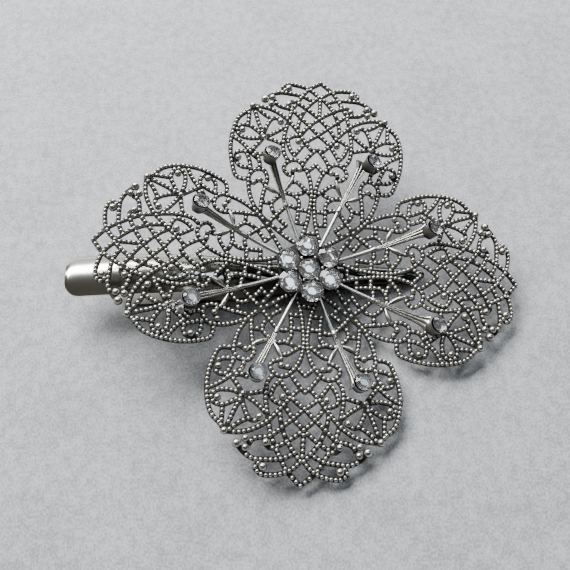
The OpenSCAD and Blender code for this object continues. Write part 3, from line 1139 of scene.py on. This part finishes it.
    def leaf(self, root: tuple[float, float], tip: tuple[float, float], sag: float) -> Skin:
        """A smooth side leaf, pointed at both ends and widest past its middle.

        Its half width along s is 0.13 + 0.36 sin(pi s^1.3), and its section a low dome.

        Args:
            root: where it leaves the stem.
            tip: its other end.
            sag: how far its middle bows to the left of the line from root to tip.

        Returns:
            The leaf.
        """
        a, b = np.array(root), np.array(tip)
        bow = np.array([a[1] - b[1], b[0] - a[0]]) / np.linalg.norm(b - a) * sag
        line = smooth_line(np.array([a, (a + b) / 2 + bow, b]), np.linalg.norm(b - a) / 14)
        s = np.linspace(0, 1, len(line))
        half = 0.13 + 0.36 * np.sin(np.pi * s**1.3)
        turn = np.radians([0, 25, 55, 90, 125, 155, 180])
        across = np.concatenate([np.cos(turn), [-0.8, 0.8]])
        high = np.concatenate([np.sin(turn), [-0.5, -0.5]])
        up = 0.05 + (0.18 + half[:, None]) * high
        return self.sweep(line, half, across, up, np.clip(0.2 + 0.75 * high, 0.05, 1))

    def middle(self) -> Skin:
        """The plain round middle of the sheet, hidden under the cluster, near black by its low tone as
        painted shade under the stones.
        """
        rim = ((0.6, -0.3), (5.4, -0.3), (5.75, -0.16), (5.75, 0.0), (5.4, 0.12), (0.6, 0.12))
        # A tone of 0.04 paints the middle near black, as the shade beneath the cluster.
        return revolved(tuple((r, z, 0.04) for r, z in rim), 48)

    def build(self) -> list[Piece]:
        """Makes the four petals and the stems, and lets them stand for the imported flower.

        Returns:
            The pieces.
        """
        silver, rubbed = Finish.FILIGREE.material(), Finish.RUBBED.material()
        petal = self.tracery()
        inner_leaf = self.leaf((15.3, 6.1), (18.9, 4.3), -0.2)
        outer_leaf = self.leaf((15.0, 6.5), (16.4, 9.8), 0.2)
        half = Skin.joined([inner_leaf, outer_leaf, self.stem(), self.mouth()])
        smooth = Skin.joined([half, half.mirrored()])
        made = []
        for number in range(4):
            turn = (0, 0, 90 * number)
            piece = self.place.apply(petal.moved(turn))
            made.append(piece.build(f"petal_tracery_{number + 1}", [silver]))
            stems = self.place.apply(smooth.moved(turn))
            made.append(stems.build(f"stems_and_leaves_{number + 1}", [rubbed], 85))
        made.append(self.place.apply(self.middle()).build("flower_middle", [silver]))
        for piece in made:
            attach(piece, "upper")
            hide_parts("filigree_flower")
        return made


# Stones


@dataclass(frozen=True)
class Brilliant:
    """A round cut stone: a clear faceted crown over a foiled pavilion.

    Attributes:
        diameter: at the girdle.
        crown: height of the table over the girdle.
        table: the table's share of the diameter.
        girdle: height of the girdle.
        waist: the pavilion's radius where its slope changes, as a share of the stone's.
        waist_at: depth of that change.
        foot: the radius of its flat foot, as a share.
        depth: depth of the foot.
        star: the radius at the star points, as a share.
        star_up: their height over the girdle, as a share of the crown.
    """

    diameter: float
    crown: float = 0.62
    table: float = 0.5
    girdle: float = 0.1
    waist: float = 0.76
    waist_at: float = 0.42
    foot: float = 0.38
    depth: float = 0.94
    star: float = 0.76
    star_up: float = 0.54

    def skin(self) -> Skin:
        """The stone, girdle's lower edge at z = 0 and table up.

        Rings: table corners at 45 k, star points at 45 k + 22.5, a little over half of the
        crown's height, sixteen girdle corners above and below, then the waist's eight corners
        at 45 k + 22.5 and the foot's eight at 45 k. The first material slot is the clear
        crown, the second the foiled back.

        Returns:
            The closed body.
        """
        r = self.diameter / 2
        eight = np.radians(45 * np.arange(8))
        between = eight + np.radians(22.5)
        sixteen = np.radians(22.5 * np.arange(16))
        rings = [
            (r * self.table, eight, self.girdle + self.crown),
            (r * self.star, between, self.girdle + self.star_up * self.crown),
            (r, sixteen, self.girdle),
            (r, sixteen, 0.0),
            (r * self.waist, between, -self.waist_at),
            (r * self.foot, eight, -self.depth),
        ]
        points = np.concatenate(
            [
                np.stack([radius * np.cos(a), radius * np.sin(a), np.full(len(a), z)], 1)
                for radius, a, z in rings
            ]
        )
        k = np.arange(8)
        after = (k + 1) % 8
        table, star, waist, foot = k, 8 + k, 48 + k, 56 + k
        top, top_mid, top_next = 16 + 2 * k, 17 + 2 * k, 16 + (2 * k + 2) % 16
        low, low_mid, low_next = top + 16, top_mid + 16, top_next + 16
        g = np.arange(16)
        g_next = (g + 1) % 16
        crown = [
            (k[None, :], 0),
            (np.stack([table, star, after], 1), 0),
            (np.stack([table, 8 + (k - 1) % 8, top, star], 1), 0),
            (np.stack([star, top, top_mid], 1), 0),
            (np.stack([star, top_mid, top_next], 1), 0),
            (np.stack([16 + g, 32 + g, 32 + g_next, 16 + g_next], 1), 0),
        ]
        back = [
            (np.stack([low_mid, low, waist], 1), 1),
            (np.stack([low_next, low_mid, waist], 1), 1),
            (np.stack([low_next, waist, foot[after], 48 + after], 1), 1),
            (np.stack([waist, foot, foot[after]], 1), 1),
            (foot[None, ::-1], 1),
        ]
        return Skin(points, crown + back, np.ones(len(points)))


@dataclass(frozen=True)
class Seat:
    """A stone's place in plan, as a distance and an angle from a middle, and its lean."""

    distance: float
    angle: float
    lean_x: float
    lean_y: float


# The cluster's stones, from its middle cup
CUP_SEATS = (
    Seat(0, 0, 0, 0),
    Seat(4.76, 97, -5, 2),
    Seat(4.42, 160, 2, -4),
    Seat(4.49, 219.5, 4, 3),
    Seat(4.44, 280, -4, -3),
    Seat(4.44, 340, 3, -2),
    Seat(4.75, 38, -3, 5),
)

# The feet of the stones at the stems' mouths, from the flower's middle
MOUTH_SEATS = (
    Seat(24.7, 20.8, -10.5, 20.7),
    Seat(24.5, 64.4, -10.9, 22),
    Seat(23.2, 113.3, -17, 9),
    Seat(23.8, 158.5, -14.1, 12.4),
    Seat(23.9, 204.4, -6, 3.4),
    Seat(24, 249.2, -6.5, -3.1),
    Seat(24.8, 293.4, -7, 1.6),
    Seat(25.8, 335.6, -7.3, 18),
)


@dataclass(frozen=True)
class GlueLump:
    """A lump of clear glue on the sheet: distance and angle from the middle, and radius."""

    distance: float
    angle: float
    radius: float


GLUE_LUMPS = (GlueLump(25.9, 204.6, 0.95), GlueLump(27.1, 203.4, 0.75), GlueLump(28.3, 205.2, 0.6))


@dataclass
class StoneSet:
    """The cluster of seven stones and the eight stones at the stems' mouths.

    Attributes:
        bend: how a petal is pressed.
        place: where the flower sits.
        cluster_at: the middle of the cluster in plan.
        girdle_z: height of its stones' girdles.
        middle_d: diameter of its middle stone.
        outer_d: diameter of the six stones round that one.
        first_turn: degrees that the middle stone is turned in its cup.
        next_turn: degrees that each stone is turned farther than the one before.
        prong_r: distance of the bright tips from the middle.
        mouth_d: diameter of the stones at the mouths.
        mouth_turn: degrees that each is turned farther than the one before.
        foot_up: height of their feet over the sheet.
        girdle_up: height of their girdles over their feet.
        cup_shift: how far their cups are off their middles.
        glued: number of the stone that has the glue beside it.
    """

    bend: PetalBend = field(default_factory=PetalBend)
    place: FlowerPlace = field(default_factory=FlowerPlace)
    cluster_at: tuple[float, float] = (-0.25, -0.8)
    girdle_z: float = 2.54
    middle_d: float = 4.2
    outer_d: float = 4.37
    first_turn: float = 12.5
    next_turn: float = 46.0
    prong_r: float = 2.55
    mouth_d: float = 3.1
    mouth_turn: float = 31.0
    foot_up: float = 1.2
    girdle_up: float = 1.9
    cup_shift: Triple = (-0.2, -0.1, 0)
    glued: int = 4

    def by_cluster(self, distance: float, angle: float, z: float) -> Triple:
        """A place at a distance and an angle from the cluster's middle, at a height."""
        a, (x, y) = math.radians(angle), self.cluster_at
        return x + distance * math.cos(a), y + distance * math.sin(a), z

    def cluster_stone(self, i: int) -> Skin:
        """Stone i of the cluster, leaning as it was set.

        Args:
            i: number of the stone, 0 for the middle one.

        Returns:
            The stone in the flower's frame.
        """
        seat = CUP_SEATS[i]
        stone = Brilliant(self.middle_d if i == 0 else self.outer_d, crown=0.7).skin()
        at = self.by_cluster(seat.distance, seat.angle, self.girdle_z)
        turned = stone.moved((0, 0, self.first_turn + self.next_turn * i))
        return turned.moved((seat.lean_x, seat.lean_y, 0), at)

    def prongs(self) -> Skin:
        """Bright tips of metal in the six gaps round the middle stone.

        Returns:
            The tips, each halfway between the angles of two stones that follow each other.
        """
        tips = []
        for seat, following in zip(CUP_SEATS[1:], CUP_SEATS[2:] + CUP_SEATS[1:2]):
            halfway = (following.angle - seat.angle) % 360 / 2
            at = self.by_cluster(self.prong_r, seat.angle + halfway, self.girdle_z + 0.05)
            tips.append(lump(0.3, 0.4, 9, 16).moved(shift=at))
        return Skin.joined(tips)

    def stamen_stone(self, i: int) -> Skin:
        """Stone i at a mouth, leaning, with its foot above the relief.

        The foot stands at a height foot_up along the sheet's normal over the given place.

        Args:
            i: number of the stone.

        Returns:
            The stone in the flower's frame.
        """
        seat = MOUTH_SEATS[i]
        axis = 90 * math.floor((seat.angle + 45) / 90)
        local = math.radians(seat.angle - axis)
        x, y = seat.distance * math.cos(local), seat.distance * math.sin(local)
        z, a = self.bend.over(x)
        foot = np.array([x - self.foot_up * math.sin(a), y, z + self.foot_up * math.cos(a)])
        stone = Brilliant(self.mouth_d, crown=0.45, table=0.56, waist=0.72, foot=0.4, depth=0.8)
        turned = stone.skin().moved((0, 0, self.mouth_turn * i))
        raised = Skin.joined([turned, self.cup()]).moved(shift=(0, 0, self.girdle_up))
        placed = raised.moved((seat.lean_x, seat.lean_y, 0), euler(0, 0, axis) @ foot)
        return Skin.joined([placed, self.glue()]) if i == self.glued else placed

    def cup(self) -> Skin:
        """The plain grey cup round the back of a stone at a mouth, a little wider than it.

        Its profile runs from the foot up the outside, over the rim and down the inside. The
        rim is just under the stone's girdle, and stands out on the side of cup_shift.

        Returns:
            The closed body, in the third material slot.
        """
        r = self.mouth_d / 2
        profile = (
            (0.05, -2.5, 0.2), (0.82 * r, -2.5, 0.2), (0.88 * r, -1.6, 0.42),
            (0.99 * r, -0.8, 0.5), (1.09 * r, -0.2, 0.62), (1.08 * r, -0.12, 0.75),
            (1.05 * r, -0.12, 0.6), (0.9 * r, -0.5, 0.1), (0.6 * r, -1.0, 0.1), (0.05, -1.0, 0.1),
        )
        return revolved(profile, 48, 2).moved(shift=self.cup_shift)

    def glue(self) -> Skin:
        """Clear lumps of glue that ran out over the tracery of the third petal.

        Returns:
            The lumps in the flower's frame.
        """
        lumps = []
        for drop in GLUE_LUMPS:
            local = math.radians(drop.angle - 180)
            x, y = drop.distance * math.cos(local), drop.distance * math.sin(local)
            at = (-x, -y, self.bend.over(x)[0] + 0.5)
            lumps.append(lump(drop.radius, 0.75 * drop.radius, 13, 48).moved(shift=at))
        return Skin.joined(lumps)

    def build(self) -> list[Piece]:
        """Makes the stones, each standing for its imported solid, and the bright tips.

        Returns:
            The pieces.
        """
        glass, rubbed = Finish.GLASS.material(), Finish.RUBBED.material()
        bright = [glass, Finish.BACK.material()]
        worn = [glass, Finish.WORN_BACK.material(), rubbed]
        skins = {f"cluster_stone_{i + 1}": (self.cluster_stone(i), bright) for i in range(7)}
        skins |= {f"stamen_stone_{i + 1}": (self.stamen_stone(i), worn) for i in range(8)}
        made = []
        for node, (skin, materials) in skins.items():
            piece = self.place.apply(skin).build(f"cut_{node}", materials, 9)
            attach(piece, "upper")
            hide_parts(node)
            made.append(piece)
        tips = self.place.apply(self.prongs()).build("setting_prongs", [rubbed])
        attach(tips, "upper")
        return [*made, tips]


# The clip


@dataclass(frozen=True)
class ArmRow:
    """A section of the upper arm: place, height of its crown line, width and arch."""

    x: float
    z: float
    width: float
    arch: float


ARM_ROWS = (
    ArmRow(-45.7, 8.45, 4.6, 0.4),
    ArmRow(-45.45, 8.55, 6.1, 0.75),
    ArmRow(-44.9, 8.7, 7.5, 1.1),
    ArmRow(-44.0, 8.76, 8.5, 1.32),
    ArmRow(-42.9, 8.78, 8.8, 1.4),
    ArmRow(-36, 8.8, 8.8, 1.4),
    ArmRow(-28, 8.45, 8.8, 1.4),
    ArmRow(-22, 7.85, 8.4, 1.35),
    ArmRow(-17, 7, 7.8, 1.25),
    ArmRow(-12, 6, 7, 1.1),
    ArmRow(-6, 5.05, 6.2, 0.95),
    ArmRow(0, 4.3, 5.6, 0.8),
    ArmRow(8, 3.45, 4.7, 0.6),
    ArmRow(16, 2.65, 3.6, 0.45),
    ArmRow(21, 2.15, 2.8, 0.3),
    ArmRow(22.6, 1.95, 2, 0.2),
    ArmRow(23.1, 1.85, 1.2, 0.1),
)


@dataclass
class ClipArms:
    """The two arms, the pin and the spring between their levers.

    Attributes:
        thickness: of the arms' sheet.
        hinge: x and z of the pin's middle.
        pin_r: the pin's radius.
        run_gap: how much wider the ears are bored, and the gap between two turns of the coil.
        wire_r: radius of the spring's wire.
        ear_r: radius of an ear.
        ear_y: distances of its two faces from the middle.
        ear_top: height that its leg reaches.
        bevel: width of the bevel on its edges.
        shade_x: where the painted shade on the upper arm under the flower starts, and where it is
            full.
        leg_x: where both legs of the spring end.
        leg_z: heights of their ends.
        coil_turns: whole turns of the coil.
        coil_start: degrees that it turns on past them at both ends.
        coil_gap: gap between the pin and the coil.
    """

    thickness: float = 0.6
    hinge: tuple[float, float] = (-22.0, 4.0)
    pin_r: float = 0.75
    wire_r: float = 0.3
    run_gap: float = 0.05
    ear_r: float = 1.9
    shade_x: tuple[float, float] = (-22.0, -10.0)
    bevel: float = 0.08
    ear_y: tuple[float, float] = (3.3, 3.85)
    ear_top: float = 6.6
    leg_x: float = -31.0
    leg_z: tuple[float, float] = (6.95, 1.22)
    coil_turns: float = 5.0
    coil_start: float = 102.0
    coil_gap: float = 0.15

    def upper_strip(self) -> Skin:
        """The arched strip from lever end to jaw tip.

        The section at x is the arch z - arch * s^2 for s from -1 to 1 across the width, over
        the same arch lowered by the thickness, with the two edges rounded by a half circle.
        The line through the rows is finer at its two ends, where it turns in.

        Returns:
            The strip, bright at its lever and darkened by painted shade under the middle of the
            flower.
        """
        rows = np.array([[r.x, r.z, r.width, r.arch] for r in ARM_ROWS])
        ends = smooth_line(rows[:5], 0.12)[:-1], smooth_line(rows[-3:], 0.12)[1:]
        line = np.concatenate([ends[0], smooth_line(rows[4:-2], 0.8), ends[1]])
        keep = np.concatenate([[True], np.diff(line[:, 0]) > 1e-4])
        x, z, width, arch = line[keep].T[:, :, None]
        half = self.thickness / 2
        s = np.linspace(-1, 1, 25)
        turn = np.radians([60, 30, 0, -30, -60])
        inner, rim = width / 2 - half, z - half - arch
        bulge, rise = inner + half * np.cos(turn), half * np.sin(turn)
        mid = z - half - arch * s**2
        across = np.concatenate([inner * s, bulge, -inner * s, -bulge], axis=1)
        up = np.concatenate([mid + half, rim + rise, mid - half, rim - rise], axis=1)
        points = np.stack([x + 0 * up, across, up], axis=-1)[:, ::-1]
        # Painted shade: the tone falls from 1 to 0.1 between these two places, darkening the arm where
        # the flower's shade and dark reflection fall on it.
        tone = np.interp(x, self.shade_x, [1.0, 0.1]) + 0 * up
        return Skin(points.reshape(-1, 3), ring_faces(*up.shape), tone.ravel())

    def ear(self, inner: float, outer: float, reach: float) -> Skin:
        """One ear: a bored disc round the pin with a leg to a height, between two distances.

        On the leg's side of the pin the outline is a rectangle as wide as the disc, up to the
        height, and on the other side it is the disc's half circle. The section runs round the
        bore, the two faces and the outline with small bevels.

        Args:
            inner: distance of its inner face from the middle.
            outer: distance of its outer face.
            reach: height that its leg reaches.

        Returns:
            The ear on the +Y side.
        """
        turn = full_turn(64)
        cos, sin = np.cos(turn), np.sin(turn)
        x0, z0 = self.hinge
        square = np.maximum(np.abs(sin), np.abs(cos))
        leg = np.sign(reach - z0) * sin > 0
        wide = np.where(leg, cos / square, cos)
        up = np.where(leg, (reach - z0) * np.abs(sin) / square, self.ear_r * sin)
        bore = self.pin_r + self.run_gap
        rows = (
            (0.0, outer - self.bevel, bore, 0.0),
            (0.0, outer, bore + self.bevel, 0.0),
            (1.0, outer, 0.0, -self.bevel),
            (1.0, outer - self.bevel, 0.0, 0.0),
            (1.0, inner + self.bevel, 0.0, 0.0),
            (1.0, inner, 0.0, -self.bevel),
            (0.0, inner, bore + self.bevel, 0.0),
            (0.0, inner + self.bevel, bore, 0.0),
        )
        rings = []
        for share, y, radius, shrink in rows:
            full_x, full_z = (self.ear_r + shrink) * wide, up * (1 + shrink / self.ear_r)
            x = share * full_x + (1 - share) * radius * cos
            z = share * full_z + (1 - share) * radius * sin
            rings.append(np.stack([x0 + x, y + 0 * turn, z0 + z], 1))
        points = np.concatenate([*rings, rings[0]])
        faces = ring_faces(len(rows) + 1, len(turn), closed=False)
        return Skin(points, faces, np.ones(len(points)))

    def spring_line(self) -> np.ndarray:
        """The wire's middle line: upper leg, coil round the pin, lower leg.

        The coil is a helix about the hinge, of coil_turns and twice coil_start, and the legs
        run straight from its ends.

        Returns:
            (n, 3) points.
        """
        radius = self.pin_r + self.coil_gap + self.wire_r
        pitch = 2 * self.wire_r + self.run_gap
        turns = self.coil_turns + 2 * self.coil_start / 360
        s = np.linspace(0, 1, 240)
        a = np.radians(self.coil_start - 360 * turns * s)
        y = pitch * turns / 2 * (2 * s - 1)
        x0, z0 = self.hinge
        coil = np.stack([x0 + radius * np.cos(a), y, z0 + radius * np.sin(a)], 1)
        first = np.array([self.leg_x, y[0], self.leg_z[0]])
        last = np.array([self.leg_x, y[-1], self.leg_z[1]])
        share = np.linspace(0, 1, 12)[:-1, None]
        legs = first + (coil[0] - first) * share, (last + (coil[-1] - last) * share)[::-1]
        return np.concatenate([legs[0], coil, legs[1]])

    def spring(self) -> Skin:
        """The wire: a circle carried along its line, square to it.

        Returns:
            The closed body.
        """
        line = self.spring_line()
        along = directions(line)
        side = np.cross(along, [0.0, 1.0, 0.0])
        side /= np.linalg.norm(side, axis=1)[:, None]
        up = np.cross(side, along)
        turn = full_turn(12)[:, None]
        ring = np.cos(turn) * side[:, None] - np.sin(turn) * up[:, None]
        points = (line[:, None] + self.wire_r * ring).reshape(-1, 3)
        return Skin(points, ring_faces(*ring.shape[:2]), np.ones(len(points)))

    def build(self) -> list[Piece]:
        """Makes the smooth upper arm and the spring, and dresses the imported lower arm, pin,
        pad and setting.

        Returns:
            The two pieces that it makes.
        """
        ear = self.ear(*self.ear_y, self.ear_top)
        skin = Skin.joined([self.upper_strip(), ear, ear.mirrored()])
        arm = skin.build("upper_arm", [Finish.ARM.material()], 35)
        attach(arm, "upper")
        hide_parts("clip_upper_arm")
        wire = self.spring().build("hinge_spring", [Finish.SPRING.material()])
        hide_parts("clip_spring")
        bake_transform(wire)
        dressed = {
            # The lower arm's finish is dark by painted shade.
            "clip_lower_arm": Finish.LOWER_ARM_SHADE,
            "hinge_pin": Finish.NICKEL,
            "glue_pad": Finish.SOLDER,
            "cluster_setting": Finish.SETTING,
        }
        for node, finish in dressed.items():
            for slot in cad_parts[node].material_slots:
                slot.material = finish.material()
        return [arm, wire]


# Floor, light and camera


@dataclass(frozen=True)
class Lamp:
    """A soft rectangular light that faces the clip.

    Attributes:
        name: the light's name.
        at: its place in millimetres.
        size: its two sides in millimetres.
        power: in watts.
        colour: its colour.
    """

    name: str
    at: Triple
    size: tuple[float, float]
    power: float
    colour: Triple = (1.0, 1.0, 1.0)

    def build(self) -> None:
        """Puts the light in the scene, turned to the frame's origin."""
        data = bpy.data.lights.new(self.name, "AREA")
        data.shape = "RECTANGLE"
        data.size, data.size_y = self.size[0] * MM, self.size[1] * MM
        data.energy = self.power
        data.color = self.colour
        lamp = bpy.data.objects.new(self.name, data)
        lamp.location = [c * MM for c in self.at]
        back = lamp.location.normalized()
        lamp.rotation_mode = "QUATERNION"
        lamp.rotation_quaternion = back.to_track_quat("Z", "Y")
        bpy.context.scene.collection.objects.link(lamp)


LAMPS = (
    Lamp("window", (-225, 365, 415), (540, 280), 9.9),
    Lamp("low_window", (193, 530, 205), (260, 120), 1.05),
    Lamp("overhead", (165, 100, 560), (250, 250), 0.54, (0.74, 0.89, 1.0)),
    Lamp("wall", (-139, 519, 159), (320, 290), 0.2, (1.0, 0.98, 0.92)),
)


@dataclass
class Studio:
    """A felt floor, soft lights and the camera at the photograph's angle."""

    camera_at: Triple = (-9.29, -67.76, 118.12)
    camera_turn: Triple = (29.9, -0.34, -3.45)
    lens: float = 43.16
    sensor: float = 36.0
    sky: Triple = (0.80, 0.745, 0.63)
    sky_strength: float = 0.085
    felt_half: float = 700.0
    felt_cells: int = 140

    def floor(self) -> None:
        """A large felt sheet under the clip, whose height falls by a slow wave: 0.15 times
        1 - cos(x / 90) cos(y / 110)."""
        count = self.felt_cells + 1
        side = np.linspace(-self.felt_half, self.felt_half, count)
        x, y = np.meshgrid(side, side, indexing="ij")
        z = -0.02 - 0.15 * (1 - np.cos(x / 90) * np.cos(y / 110))
        points = np.stack([x, y, z], -1).reshape(-1, 3)
        i, j = np.meshgrid(np.arange(count - 1), np.arange(count - 1), indexing="ij")
        a = (i * count + j).ravel()
        quads = np.stack([a, a + count, a + count + 1, a + 1], 1)
        skin = Skin(points, [(quads, 0)], np.ones(len(points)))
        skin.build("felt_floor", [Finish.FELT.material()])

    def world(self) -> None:
        """An even, dim sky."""
        world = bpy.data.worlds.new("sky")
        world.use_nodes = True
        sky = world.node_tree.nodes["Background"].inputs
        sky["Color"].default_value = (*self.sky, 1)
        sky["Strength"].default_value = self.sky_strength
        bpy.context.scene.world = world

    def camera(self) -> None:
        """The camera, at the photograph's place and angle."""
        data = bpy.data.cameras.new("camera")
        data.sensor_width = self.sensor
        data.lens = self.lens
        data.clip_start, data.clip_end = 0.005, 5.0
        camera = bpy.data.objects.new("camera", data)
        camera.location = [c * MM for c in self.camera_at]
        camera.rotation_euler = [math.radians(c) for c in self.camera_turn]
        bpy.context.scene.collection.objects.link(camera)
        bpy.context.scene.camera = camera

    def build(self) -> None:
        """Makes the floor, the lights, the sky and the camera."""
        self.floor()
        for lamp in LAMPS:
            lamp.build()
        self.world()
        self.camera()


def main() -> None:
    """Builds the flower, the stones, the clip and the studio, and reports each piece."""
    logging.basicConfig(level=logging.INFO, format="%(name)s: %(message)s")
    pieces = [*FiligreeFlower().build(), *StoneSet().build(), *ClipArms().build()]
    for piece in pieces:
        log.info("%s: %d faces", piece.name, len(piece.data.polygons))
    Studio().build()


if __name__ == "__main__":
    main()
